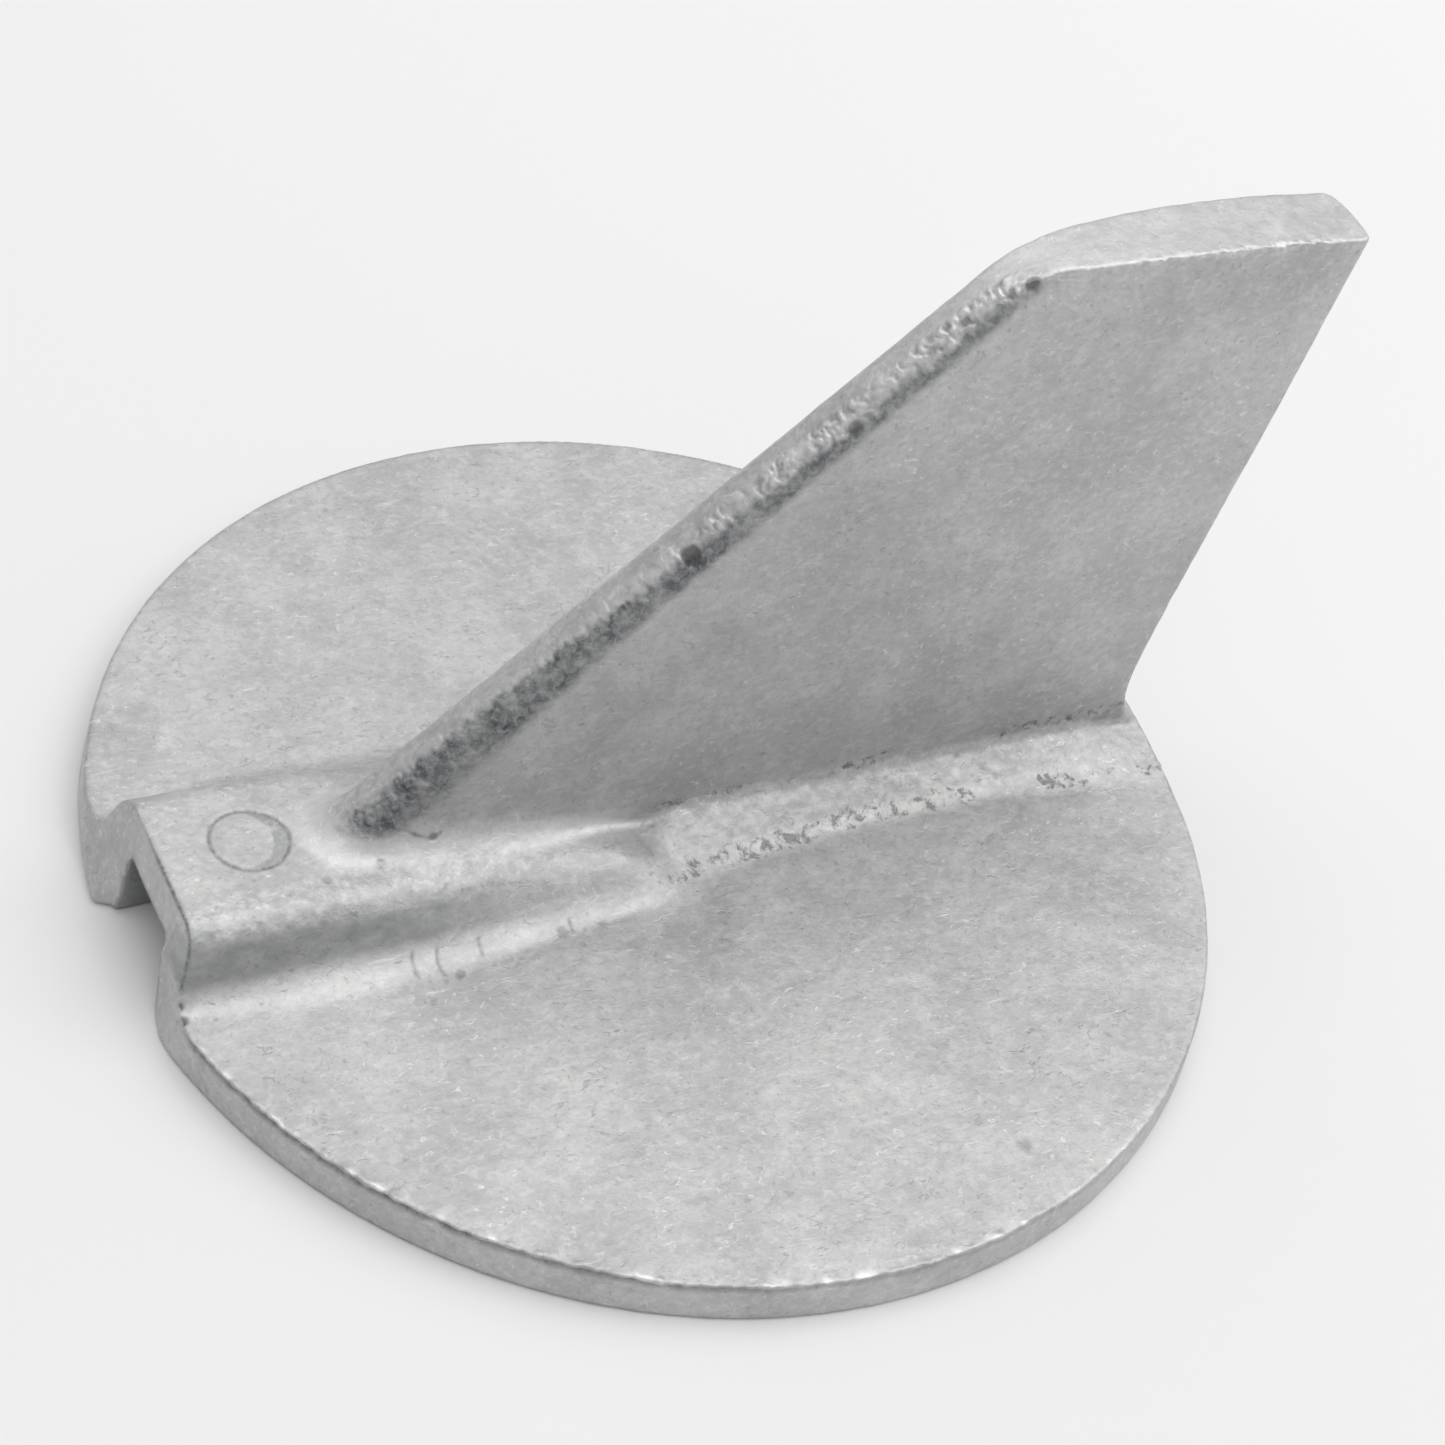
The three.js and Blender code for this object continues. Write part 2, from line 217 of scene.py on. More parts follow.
def spine_swell(x, y):
    """How far the spine's top rises under the forward part of the fin."""
    across = np.clip(1 - (y / SPINE_SWELL_HALF) ** 2, 0, 1)
    return SPINE_SWELL * across * across * ramp(x, -37, -31) * ramp(-x, 12, 22)


def spine_field(x, y, z):
    """The spine's outside, with a shoulder that is wider beside the fin than in front of it.

    The factors after top, side and rear keep the field's own slope near 1.
    """
    h = z - DISC_THICKNESS
    top = (h - spine_top(x) - spine_swell(x, y)) * 0.98
    side = (np.abs(y) - (SPINE_HALF_WIDTH - SPINE_WALL_SLOPE * h)) * 0.94
    rear = (x - SPINE_REAR_X + SPINE_REAR_SLOPE * h) * 0.86
    wider = (SPINE_REAR_SHOULDER - SPINE_SHOULDER) * ramp(x, -36, -18)
    wider = wider * (1 - 0.5 * ramp(x, -12, -5))
    return round_and(round_and(side, rear, SPINE_REAR_CORNER), top, SPINE_SHOULDER + wider)


def channel_field(x, y, z):
    """The groove under the spine, whose near edge is well rounded at the mounting face."""
    drop = np.clip(CHANNEL_NEAR_LIP - z, 0, CHANNEL_NEAR_LIP)
    flare = CHANNEL_NEAR_LIP - np.sqrt(CHANNEL_NEAR_LIP**2 - drop * drop)
    near_wall = -y - (CHANNEL_NEAR_WALL - CHANNEL_DRAFT * z + flare)
    side = np.maximum(near_wall, y - CHANNEL_FAR_WALL)
    roof = z - (DISC_THICKNESS + spine_top(x) - CHANNEL_ROOF)
    rear = x - CHANNEL_REAR_X
    return round_and(round_and(side, rear, 2.0), roof, 0.6)


def front_field(x, y, z):
    """What lies behind the casting's flat front end, and behind the channel's mouth in the rim."""
    cut = FRONT_X + FRONT_LEAN * z
    near = MOUTH_SETBACK * ramp(y, MOUTH_NEAR_Y, -CHANNEL_NEAR_WALL) * (1 - ramp(z, 1.5, 5))
    far = MOUTH_FAR_REACH * ramp(y, MOUTH_FAR_Y, MOUTH_FAR_Y + 1.5)
    far = far + MOUTH_SETBACK * ramp(y, MOUTH_FAR_Y, MOUTH_FAR_Y + 1)
    return (cut + near - far * np.clip(1 - z / DISC_THICKNESS, 0, 1) - x) * 0.95


def nose_distance(x, h):
    """How far a point lies behind the fin's raked leading edge, square to that edge."""
    return (x - NOSE_X - NOSE_RAKE * h) / math.hypot(1, NOSE_RAKE)


def nose_half(h):
    """Half the fin's thickness just behind its rounded leading edge."""
    return NOSE_HALF_ROOT + (NOSE_HALF_TIP - NOSE_HALF_ROOT) * np.clip(h / TIP_HEIGHT, 0, 1)


def blade_field(x, y, z):
    """The fin's two faces and its rounded leading edge. It grows thicker behind the edge."""
    h = z - DISC_THICKNESS
    back = nose_distance(x, h)
    thin = nose_half(h)
    half = thin + (BLADE_HALF - thin) * (1 - np.exp(-np.maximum(back - thin, 0) / 4.5))
    round_nose = np.hypot(y, thin - back) - thin
    return np.where(back < thin, round_nose, np.abs(y) - half)


def tail_field(x, y, z):
    """The fin's trailing edge, which sweeps out to the rim at its foot."""
    h = z - DISC_THICKNESS
    flare = TAIL_FLARE * np.exp(-np.maximum(h, -1) / TAIL_FLARE_HEIGHT)
    edge = TAIL_X + TAIL_RAKE * h + flare
    bulge = TAIL_BULGE * (1 - (y / BLADE_HALF) ** 2) * ramp(h, 5, 14)
    return (x - edge - bulge) * 0.95


def tip_field(x, y, z):
    """The fin's crowned top, with a large round down to its leading edge."""
    h = z - DISC_THICKNESS
    crown = TIP_HEIGHT - TIP_CROWN_CURVE * (x - TIP_CROWN_X) ** 2
    crown = crown + TIP_CROWN_TILT * (y - BLADE_HALF)
    top = (h - crown) * 0.99
    front = -nose_distance(x, h)
    return round_and(top, front, 3.2 + 0.7 * np.tanh(y / 1.5))


def fin_field(x, y, z):
    """The whole fin, whose trailing edge is rounder towards the tip."""
    tail_round = 0.35 + 0.45 * ramp(z, 40, 54)
    outline = round_and(blade_field(x, y, z), tail_field(x, y, z), tail_round)
    return round_and(outline, tip_field(x, y, z), 0.3)


def root_foot(x):
    """Half the width of the sloped band along the fin's foot."""
    return BAND_HALF + BAND_SPREAD * (x - BAND_WAIST_X) ** 2


def root_field(x, y, z):
    """The sloped band along the fin's foot, from the spine's rear end to the rim."""
    h = z - DISC_THICKNESS
    reach = root_foot(x) - BLADE_HALF
    height = BAND_HEIGHT - BAND_FALL * (x + 3) - BAND_TAIL_DROP * ramp(x, 38, 48)
    slope = np.hypot(1 / reach, 1 / height)
    band = ((np.abs(y) - BLADE_HALF) / reach + h / height - 1) / slope
    start = (SPINE_REAR_X - 4 - x + BAND_START_SLOPE * h) * 0.486
    return round_and(band, start, 0.8)


def insert_field(x, y, z, grown=0.0):
    """The insert's outside: a barrel with a hexagonal flange buried in the casting."""
    radius = np.hypot(x, y)
    barrel = radius - INSERT_BARREL_RADIUS
    bevel = (radius + z - INSERT_BARREL_RADIUS - INSERT_HEIGHT + INSERT_BARREL_CHAMFER) * 0.7071
    barrel = np.maximum(np.maximum(barrel, z - INSERT_HEIGHT), bevel)
    flat = FLANGE_CORNER_RADIUS * math.cos(math.pi / 6)
    hexagon = -flat * np.ones_like(radius)
    for side in range(3):
        angle = side * math.pi / 3
        hexagon = np.maximum(hexagon, np.abs(x * math.cos(angle) + y * math.sin(angle)) - flat)
    middle = (FLANGE_BOTTOM + FLANGE_TOP) / 2
    flange = round_and(hexagon, np.abs(z - middle) - (FLANGE_TOP - FLANGE_BOTTOM) / 2, 0.2)
    return np.minimum(barrel, flange) - grown


def foot_fillets(x):
    """Radii of the fillets at the feet of the spine, the band and the fin, at each place in x."""
    spine = 1.2 + 1.6 * ramp(x, -47, -34) - 1.5 * ramp(x, -26, -6)
    band = 0.7 + 1.6 * (1 - ramp(x, -5, 2))
    fin = 0.6 + 2.4 * ramp(-x, 2, 22) - 1.3 * ramp(-x, 24, 31)
    return spine, band, fin


def casting_field(x, y, z):
    """The whole casting: disc, spine, band and fin joined, then trimmed and hollowed."""
    spine_fillet, band_fillet, fin_fillet = foot_fillets(x)
    body = round_or(z - DISC_THICKNESS, spine_field(x, y, z), spine_fillet)
    body = round_or(body, root_field(x, y, z), band_fillet)
    body = round_or(body, fin_field(x, y, z), fin_fillet)
    body = round_and(body, front_field(x, y, z), 0.2)
    trimmed = round_and(body, rim_field(x, y, z), DISC_EDGE)
    far_foot = FAR_FOOT_ROUND * ramp(-x, 43, 46.5) * ramp(y, 2, 5)
    body = round_and(np.where(z < RIM_REACH, trimmed, body), -z, DISC_EDGE + far_foot)
    body = round_and(body, -channel_field(x, y, z), 0.15)
    return np.maximum(body, -insert_field(x, y, z, INSERT_CLEARANCE))


def threaded_field(x, y, z):
    """The insert with a right-hand thread cut through it and a countersink at its mouth."""
    radius = np.hypot(x, y)
    turn = np.arctan2(y, x) / (2 * math.pi)
    phase = np.mod(z / THREAD_PITCH - turn, 1.0)
    flank = np.clip(np.abs(phase - 0.5) * 2.6 - 0.15, 0, 1)
    bore = THREAD_MAJOR_RADIUS - (THREAD_MAJOR_RADIUS - THREAD_MINOR_RADIUS) * flank
    hole = np.minimum(bore - radius, (THREAD_MAJOR_RADIUS + 0.15 - z - radius) * 0.7071)
    body = np.maximum(insert_field(x, y, z), -z)
    edge = round_and(body, radius * 0 - z, 0.15)
    return np.maximum(np.maximum(body, edge), hole)


# ---------------------------------------------------------------- from a field to a mesh


def gradient(field, points, reach=0.02):
    """The field's slope at each point, by central differences."""
    out = np.empty_like(points)
    for axis in range(3):
        step = np.zeros(3)
        step[axis] = reach
        out[:, axis] = field(*(points + step).T) - field(*(points - step).T)
    return out / (2 * reach)


def unit(vectors):
    """The same vectors, each with length 1."""
    return vectors / np.maximum(np.linalg.norm(vectors, axis=1, keepdims=True), 1e-9)


def sampled(field, axes, slab):
    """The field at every grid point. Above slab[0], only |y| up to slab[1] is worked out."""
    xs, ys, zs = axes
    values = np.full((len(xs), len(ys), len(zs)), 9.0, np.float32)
    narrow = np.flatnonzero(np.abs(ys) <= slab[1])
    inner = slice(narrow[0], narrow[-1] + 1)
    for k in range(0, len(zs), 8):
        layer = slice(k, min(k + 8, len(zs)))
        across = inner if zs[layer][0] > slab[0] else slice(0, len(ys))
        grid = np.meshgrid(xs, ys[across], zs[layer], indexing="ij")
        values[:, across, layer] = field(*grid)
    return values


def crossings(values, axes, axis):
    """Where the surface crosses the grid's edges along one axis: cell, share and direction."""
    low = [slice(None)] * 3
    high = [slice(None)] * 3
    low[axis], high[axis] = slice(None, -1), slice(1, None)
    a, b = values[tuple(low)], values[tuple(high)]
    at = np.argwhere((a < 0) != (b < 0))
    va, vb = a[tuple(at.T)], b[tuple(at.T)]
    points = np.stack([axes[i][at[:, i]] for i in range(3)], axis=1)
    step = axes[axis][1] - axes[axis][0]
    points[:, axis] += step * va / (va - vb)
    return at, points, va < 0


def fitted_mesh(field, low, high, step, slab=(1e9, 1e9)):
    """A closed quad mesh of the field's surface, by dual contouring, so that edges stay sharp."""
    axes = [np.arange(a - 1.37 * step, b + 2.2 * step, step) for a, b in zip(low, high)]
    values = sampled(field, axes, slab)
    shape = np.array([len(a) for a in axes])
    corners, positions, flips = [], [], []
    for axis in range(3):
        at, points, inside = crossings(values, axes, axis)
        u, v = (axis + 1) % 3, (axis + 2) % 3
        around = []
        for du, dv in ((-1, -1), (0, -1), (0, 0), (-1, 0)):
            cell = at.copy()
            cell[:, u] += du
            cell[:, v] += dv
            around.append(np.ravel_multi_index(tuple(cell.T), tuple(shape)))
        corners.append(np.stack(around, axis=1))
        positions.append(points)
        flips.append(inside)
    corners, positions = np.concatenate(corners), np.concatenate(positions)
    flips = np.concatenate(flips)
    normals = unit(gradient(field, positions))
    cells, quads = np.unique(corners, return_inverse=True)
    quads = quads.reshape(corners.shape)
    verts = cell_points(len(cells), quads, positions, normals, step)
    quads[~flips] = quads[~flips][:, ::-1]
    return verts, quads


def cell_points(count, quads, positions, normals, step):
    """One point for each cell, where the planes that cross its edges best agree."""
    owner = quads.ravel()
    spread = np.repeat(np.arange(len(positions)), 4)
    p, n = positions[spread], normals[spread]

    def gathered(weights):
        """The sum of the weights over each cell's crossings."""
        return np.bincount(owner, weights, count)

    share = gathered(np.ones(len(owner)))
    middle = np.stack([gathered(p[:, i]) for i in range(3)], axis=1) / share[:, None]
    offset = np.einsum("ij,ij->i", n, p - middle[owner])
    matrix = np.empty((count, 3, 3))
    target = np.empty((count, 3))
    for i in range(3):
        target[:, i] = gathered(n[:, i] * offset)
        for j in range(3):
            matrix[:, i, j] = gathered(n[:, i] * n[:, j])
    matrix += np.eye(3) * 0.05 * share[:, None, None]
    shift = np.linalg.solve(matrix, target[:, :, None])[:, :, 0]
    return middle + np.clip(shift, -0.7 * step, 0.7 * step)


def mesh_object(name, verts, faces):
    """A smooth-shaded object with the given mesh, whose points are in millimetres."""
    mesh = bpy.data.meshes.new(name)
    mesh.from_pydata((verts * MM).tolist(), [], faces.tolist())
    mesh.polygons.foreach_set("use_smooth", np.ones(len(mesh.polygons), bool))
    mesh.update()
    piece = bpy.data.objects.new(name, mesh)
    bpy.context.scene.collection.objects.link(piece)
    return piece


def vertices_of(piece):
    """The piece's points, in millimetres."""
    co = np.empty(len(piece.data.vertices) * 3)
    piece.data.vertices.foreach_get("co", co)
    return co.reshape(-1, 3) / MM


def move_vertices(piece, verts):
    """Puts the piece's points at new places, given in millimetres."""
    piece.data.vertices.foreach_set("co", (verts * MM).ravel())
    piece.data.update()


def paint(piece, name, values):
    """Stores one number per vertex for the material to read."""
    layer = piece.data.attributes.new(name, "FLOAT", "POINT")
    layer.data.foreach_set("value", np.clip(values, 0, 1).astype(np.float32))


def refine(piece, chosen):
    """Splits every edge whose two ends are chosen, so that small chips have points to form on."""
    work = bmesh.new()
    work.from_mesh(piece.data)
    work.verts.ensure_lookup_table()
    edges = [e for e in work.edges if chosen[e.verts[0].index] and chosen[e.verts[1].index]]
    bmesh.ops.subdivide_edges(work, edges=edges, cuts=1, use_grid_fill=True)
    for face in work.faces:
        face.smooth = True
    work.to_mesh(piece.data)
    work.free()
    piece.data.update()


def settle(field, verts, limit):
    """Moves points onto the field's surface."""
    slope = gradient(field, verts)
    steep = np.maximum((slope * slope).sum(1), 0.2)
    move = -(field(*verts.T) / steep)[:, None] * slope
    length = np.maximum(np.linalg.norm(move, axis=1, keepdims=True), 1e-9)
    return verts + move * np.minimum(1, limit / length)


# ---------------------------------------------------------------- how the casting is marked


def nose_angle(x, y, z):
    """Angle round the fin's leading edge, in degrees: 0 in front, 90 at the near face."""
    h = z - DISC_THICKNESS
    thin = nose_half(h)
    return np.degrees(np.arctan2(-y, thin - nose_distance(x, h)))


def on_nose(x, y, z):
    """1 on the leading edge's rounded band, 0 on the fin's faces and below its foot."""
    h = z - DISC_THICKNESS
    back = nose_distance(x, h)
    fade = 1.25 + 0.4 * (1 - ramp(h, 8, 30))
    near = 1 - ramp(back, nose_half(h) * 0.8, nose_half(h) * fade)
    foot = spine_top(x) + SPINE_SWELL
    return near * ramp(h, foot + 0.6, foot + 1.8) * (1 - ramp(h, 51.5, 53.5))


def edge_place(x, y, z):
    """Distance along the leading edge, and round it from its front, both in millimetres."""
    along = (x + z) * 0.7071
    return along, np.radians(nose_angle(x, y, z)) * NOSE_HALF_ROOT


def rough_shaded_stripe(x, y, z):
    """1 on the rough dark stripe up the near half of the leading edge: its darkness is partly its
    own and partly painted shade.
    """
    h = z - DISC_THICKNESS
    along, across = edge_place(x, y, z)
    fine = 0.40 * noise(along, across * 0.4, 0 * h, 0.40, 11)
    broad = 0.30 * noise(along, across, 0 * h, 1.8, 12)
    start = 0.55 + 1.95 * ramp(h, 6, 46) + (fine + broad)
    return on_nose(x, y, z) * ramp(across, start - 0.4, start + 0.5)


def scaly(x, y, z):
    """1 where the stripe's upper edge breaks up into bright scales, mostly near the tip."""
    h = z - DISC_THICKNESS
    across = edge_place(x, y, z)[1]
    start = 0.1 + 0.4 * ramp(h, 8, 50)
    width = 0.7 + 1.8 * ramp(h, 20, 46)
    end = start + width
    inside = ramp(across, start - 0.4, start + 0.2) * (1 - ramp(across, end, end + 0.6))
    uneven = 0.75 + 0.45 * noise(x + z, 0 * y, 0 * z, 2.6, 26)
    return on_nose(x, y, z) * inside * uneven * (0.3 + 0.7 * ramp(h, 24, 42))


def scale_pattern(x, y, z):
    """From -1 between the scales to 1 on them; they lie square to the leading edge."""
    along, across = edge_place(x, y, z)
    ragged = along + 0.35 * noise(along, across, 0 * x, 0.9, 27)
    scales = noise(ragged, across * 0.45, 0 * x, 0.38, 7)
    return scales + 0.6 * noise(ragged, across * 0.7, 0 * x, 0.24, 17)


def tip_edge(x, y, z):
    """1 along the near edge of the fin's top."""
    top_corner = ramp(tip_field(x, y, z), -1.2, -0.2) * ramp(z - DISC_THICKNESS, 40, 50)
    return np.exp(-(((y + BLADE_HALF) / 0.8) ** 2)) * top_corner * (1 - ramp(x, 45.5, 47.5))


def on_root(x, y, z):
    """1 on the sloped band along the fin's foot."""
    h = z - DISC_THICKNESS
    across = (root_foot(x) - np.abs(y)) / (root_foot(x) - BLADE_HALF)
    inside = ramp(across, -0.12, 0.1) * (1 - ramp(h, 3.2, 4.2))
    return inside * ramp(x, SPINE_REAR_X - 1, SPINE_REAR_X + 2) * ramp(h, -0.3, 0.0)


def near_wall(x, y, z):
    """1 on the near side wall of the spine, between its shoulder and its foot's fillet, which is
    darkened with painted shade.
    """
    h = z - DISC_THICKNESS
    inside = ramp(h, 0.8, 1.7) * (1 - ramp(h, spine_top(x) - 1.5, spine_top(x) - 0.5))
    inside = inside * (y < -5) * ramp(x, -48, -46.5) * (1 - 0.75 * ramp(x, -26, -12))
    return inside * (x < SPINE_REAR_X - 0.5)


def spine_foot(x, y, z):
    """1 on the smooth hollow along the near foot of the spine, which narrows to the rear and
    carries a painted highlight.
    """
    h = z - DISC_THICKNESS
    out = -y - (SPINE_HALF_WIDTH - SPINE_WALL_SLOPE * h)
    width = 1.3 + 3.4 * (1 - ramp(x, -46, -30)) - 0.8 * ramp(x, -26, -8)
    across = ramp(out, 0.1, 0.7) * (1 - ramp(out, width, width + 1.3))
    return across * (h < 2) * (1 - ramp(x, SPINE_REAR_X - 3.5, SPINE_REAR_X - 1.5))


def nose_halo(x, y, z):
    """1 on the smooth fillet round the fin's foot, where it stands on the spine and carries a
    painted highlight.
    """
    h = z - DISC_THICKNESS
    low = 1 - ramp(h, spine_top(x) + 1.1, spine_top(x) + 2.0)
    near = 1 - ramp(fin_field(x, y, z), 1.2, 2.4)
    return low * near * ramp(h, spine_top(x) - 0.7, spine_top(x) - 0.2) * (1 - ramp(x, -7, -4))


def near_shoulder(x, y, z):
    """1 on the grainy rounded shoulder over the near side wall."""
    h = z - DISC_THICKNESS
    inside = ramp(h, spine_top(x) - 1.6, spine_top(x) - 0.9) * ramp(-y, 3.0, 5.0) * (y > -9.5)
    inside = inside * (1 - 0.6 * ramp(x, -20, -10)) * (x < SPINE_REAR_X)
    return inside * (1 - ramp(h, 5.8, 6.2))


def rim_flash(x, y, z):
    """1 along the near part of the disc's upper edge, where the mould halves met badly."""
    angle = -np.degrees(np.arctan2(y, x))
    along = ramp(angle, 50, 84) * (1 - ramp(angle, 164, 168))
    edge = np.exp(-(((np.hypot(x, y) - FACE_RADIUS) / 0.5) ** 2))
    return along * edge * (y < 0)


def rim_groove(x, y, z):
    """1 in the ragged groove just under that edge, which is darkened with painted shade. It is
    deepest at the front.
    """
    angle = -np.degrees(np.arctan2(y, x))
    h = z - DISC_THICKNESS
    ragged = 0.5 + 0.5 * noise(x, y, 0 * z, 0.6, 10)
    middle = -0.36 - 0.10 * noise(x, y, 0 * z, 1.3, 13)
    width = 0.14 + 0.16 * ragged
    depth = (0.4 + 0.6 * ramp(angle, 85, 140)) * (0.55 + 0.45 * ragged)
    return rim_flash(x, y, z) * depth * np.exp(-(((h - middle) / width) ** 2))


def roughened(verts):
    """How far each point of the casting's skin stands proud of its ideal shape."""
    x, y, z = verts.T
    h = z - DISC_THICKNESS
    smooth = np.maximum(spine_foot(x, y, z), nose_halo(x, y, z))
    skin = (0.035 * cloudy(x, y, z, 5.0, 1) + 0.024 * cloudy(x, y, z, 1.4, 2)) * (1 - 0.7 * smooth)

    along, across = edge_place(x, y, z)
    chips = noise(along, across * 0.6, 0 * h, 0.5, 5) + 0.6 * noise(along, across, 0 * h, 0.3, 6)
    skin += 0.09 * chips * rough_shaded_stripe(x, y, z)
    skin += 0.14 * scale_pattern(x, y, z) * scaly(x, y, z)

    skin += 0.06 * cloudy(x, y, z, 0.9, 8, 2) * on_root(x, y, z)
    skin += 0.05 * cloudy(x, y, z, 0.8, 14, 2) * near_shoulder(x, y, z)
    skin += 0.13 * cloudy(x, y, z, 0.6, 16, 2) * tip_edge(x, y, z)

    lip = ramp(noise(x, y, 0 * z, 0.8, 9), 0.0, 0.9)
    jagged = noise(x, y, 0 * z, 0.45, 15)
    edge = rim_flash(x, y, z) * ramp(h, -0.45, -0.1)
    skin += edge * (0.14 * lip + 0.06 * jagged) - 0.34 * rim_groove(x, y, z)

    for mark in CASTING_MARKS:
        skin += mark_depth(mark, verts)
    skin += ejector_mark(x, y, z) - RIPPLE_DEPTH * (ripples(x, y, z) + crack(verts))

    mounting = 1 - ramp(z, 0.05, 0.6)
    return skin * (1 - 0.6 * mounting) - 0.02 * mounting


# Small flaws: place on the surface, radius, depth, darkness and a seed for the outline.
CASTING_MARKS = [
    ((-5.9, -1.8, 33.4), 0.95, 0.45, 0.78, 1),
    ((5.4, -1.9, 44.0), 0.7, 0.30, 0.60, 2),
    ((17.3, -2.0, 55.6), 0.8, 0.40, 0.55, 3),
    ((-45.7, -9.8, 4.1), 0.55, 0.30, 0.90, 4),
    ((-45.8, -10.7, 3.6), 0.50, 0.25, 0.80, 5),
    ((11.3, -40.5, 3.4), 0.95, 0.06, 0.30, 6),
    ((-24.2, -12.3, 3.4), 0.55, 0.06, 0.40, 7),
    ((-14.7, -10.9, 3.7), 0.7, 0.06, 0.40, 8),
    ((-11.2, -10.8, 3.7), 0.6, 0.05, 0.30, 9),
    ((-32.7, -4.5, 8.4), 0.5, 0.10, 0.35, 10),
    ((-28.2, -4.0, 8.2), 0.45, 0.08, 0.30, 11),
    ((-27.2, -14.0, 3.4), 0.45, 0.06, 0.25, 12),
    ((-23.6, -3.3, 9.3), 0.45, 0.06, 0.55, 13),
]


def mark_depth(mark, verts):
    """A pit with a ragged outline round one place."""
    centre, radius, depth, _, seed = mark
    gap = np.linalg.norm(verts - np.array(centre), axis=1)
    close = gap < 3 * radius
    out = np.zeros(len(verts))
    x, y, z = verts[close].T
    ragged = radius * (1 + 0.32 * cloudy(x, y, z, 0.8, 70 + seed, 2))
    out[close] = -depth * (1 - ramp(gap[close], 0.5 * ragged, ragged))
    return out


# Thin curved ripples across the spine's foot: place of each one's middle, and its half-length.
RIPPLES = [
    ((-27.6, -10.9), 1.25),
    ((-25.6, -11.1), 1.35),
    ((-21.9, -10.6), 0.8),
    ((-13.9, -10.4), 0.7),
]
RIPPLE_CURVE = 2.4
RIPPLE_LINE = 0.14
RIPPLE_DEPTH = 0.06


def ripples(x, y, z):
    """1 on the thin curved ripples across the near foot of the spine."""
    total = np.zeros(len(x))
    for (px, py), half in RIPPLES:
        bend = np.hypot(x - px - RIPPLE_CURVE, y - py) - RIPPLE_CURVE
        line = np.exp(-((bend / RIPPLE_LINE) ** 2)) * (x < px + RIPPLE_CURVE)
        total = np.maximum(total, line * (1 - ramp(np.abs(y - py), 0.6 * half, half)))
    return total * (np.abs(z - DISC_THICKNESS) < 1.5)


CRACK_START = (-28.2, -2.3, 10.5)
CRACK_END = (-23.4, -3.2, 9.4)
CRACK_LINE = 0.13


def crack(verts):
    """A thin wavering crack on the fillet at the near side of the fin's foot."""
    start, end = np.array(CRACK_START), np.array(CRACK_END)
    along = np.clip((verts - start) @ (end - start) / ((end - start) @ (end - start)), 0, 1)
    x, y, z = verts.T
    waver = 0.3 * noise(x, y, z, 1.2, 18)
    away = verts - start - along[:, None] * (end - start)
    height = away[:, 2] + waver
    line = np.exp(-((height / CRACK_LINE) ** 2)) * (np.abs(away[:, 0]) < 0.5)
    return line * (np.abs(away[:, 1]) < 0.8) * (0.6 + 0.4 * noise(x, y, z, 0.7, 19))


RING_CENTRE = (-37.1, 0.7)
RING_RADIUS = 3.05
RING_LINE = 0.13
RING_DEPTH = 0.13


def ejector_mark(x, y, z):
    """The ejector pin's ring on the spine's top, pressed in a little deeper at its rear."""
    h = z - DISC_THICKNESS
    dx, dy = x - RING_CENTRE[0], y - RING_CENTRE[1]
    radius = np.hypot(dx, dy)
    on_top = ramp(h, 4.2, 4.6) * (radius < 5)
    groove = np.exp(-(((radius - RING_RADIUS) / RING_LINE) ** 2))
    inner = np.hypot(dx + 1.1, dy - 0.3)
    crescent = (1 - ramp(radius, RING_RADIUS - 0.2, RING_RADIUS)) * ramp(inner, 2.9, 3.1)
    return -on_top * (RING_DEPTH * groove + 0.06 * crescent)


def ring_shade(x, y, z):
    """1 in the ejector pin's ring, which is darkened with painted shade."""
    return np.clip(-ejector_mark(x, y, z) / RING_DEPTH, 0, 1)


def front_edge(x, y, z):
    """1 along the near part of the edge between the spine and its flat front end, where a shadow
    line is painted.
    """
    from_front = front_field(x, y, z) / 0.16
    from_side = (spine_field(x, y, z) + 0.05) / 0.22
    line = np.exp(-(from_front**2) - from_side**2)
    return line * (1 - ramp(y, -1, 4)) * ramp(z - DISC_THICKNESS, 0.8, 2.0)


# ---------------------------------------------------------------- materials


